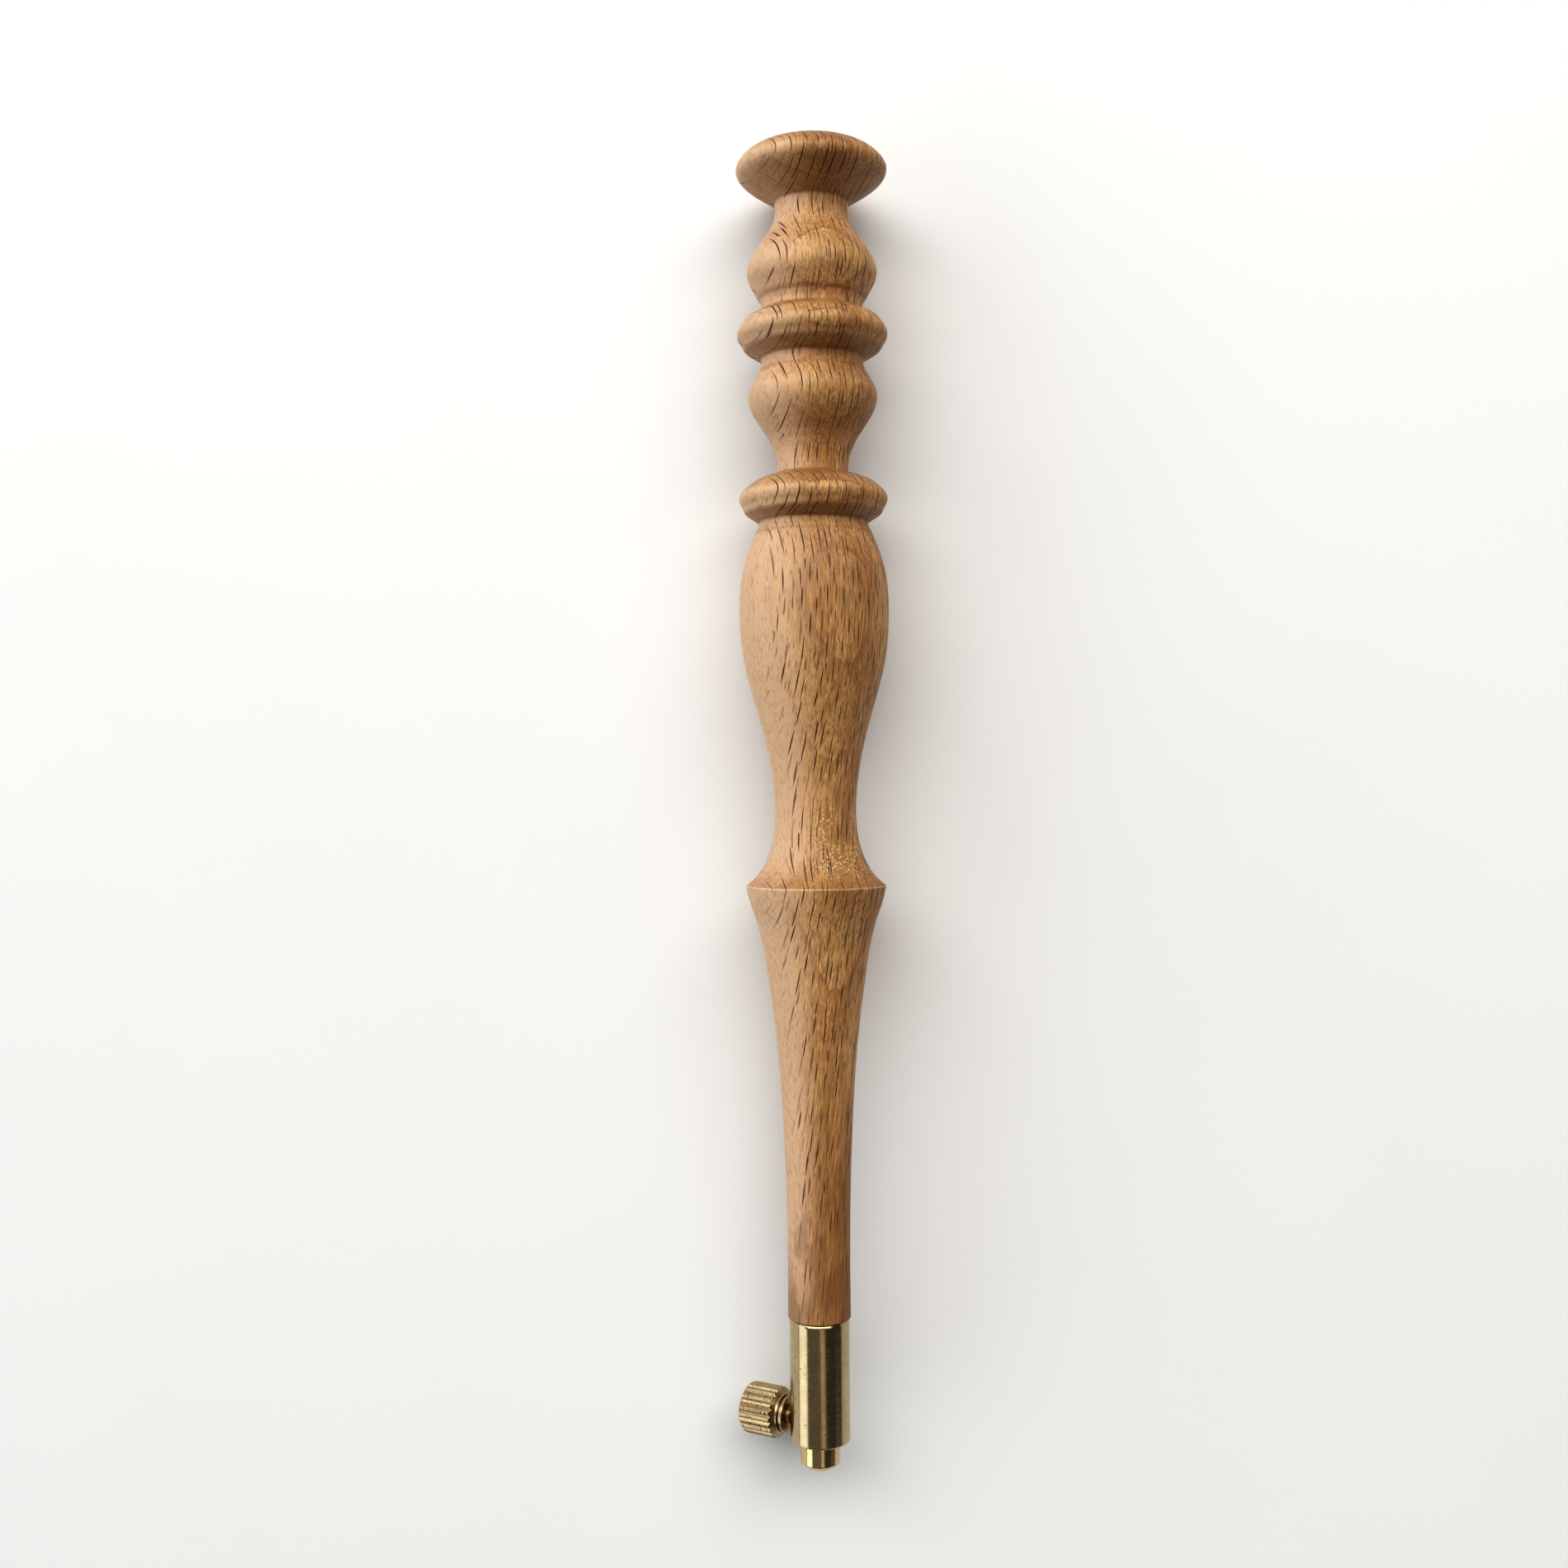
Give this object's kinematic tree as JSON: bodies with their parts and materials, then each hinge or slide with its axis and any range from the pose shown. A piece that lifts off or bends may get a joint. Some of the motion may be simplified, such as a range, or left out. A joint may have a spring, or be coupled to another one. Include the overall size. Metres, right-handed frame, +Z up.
{
  "type": "embroidery hook handle",
  "caption": "Slim turned wooden handle with beads, a brass ferrule and a brass nose whose knurled thumbscrew clamps a needle shank.",
  "frame": {"origin": "centre of the needle bore's mouth, on the nose's end face", "axes": "+Y up the handle from the nose to the finial, +Z up with the handle lying on a table, the thumbscrew on the -X side and pointing 30 degrees down"},
  "size_m": [0.0191, 0.16, 0.0182],
  "materials": {
    "beech": "oiled",
    "sleeve_brass": "brushed",
    "nose_brass": "polished",
    "screw_brass": "knurled"
  },
  "bodies": {
    "holder": {"handle": "beech", "ferrule_sleeve": "sleeve_brass", "needle_chuck": "nose_brass"},
    "screw_shank": {"thumbscrew_stud": "screw_brass"},
    "screw_head": {"thumbscrew_knob": "screw_brass"}
  },
  "joints": [
    {"name": "thumbscrew_travel", "type": "slide", "parent": "holder", "child": "screw_shank", "axis": [-0.866, 0, -0.5], "range_m": [-0.00063, 0.0018]},
    {"name": "thumbscrew_turn", "type": "hinge", "parent": "screw_shank", "child": "screw_head", "pos_m": [0, 0.0054, 0], "axis": [-0.866, 0, -0.5], "range_deg": [-504.1, 1440.1]}
  ],
  "couplings": [
    {"joint": "thumbscrew_turn", "follows": "thumbscrew_travel", "rad_per_m": 13963}
  ]
}
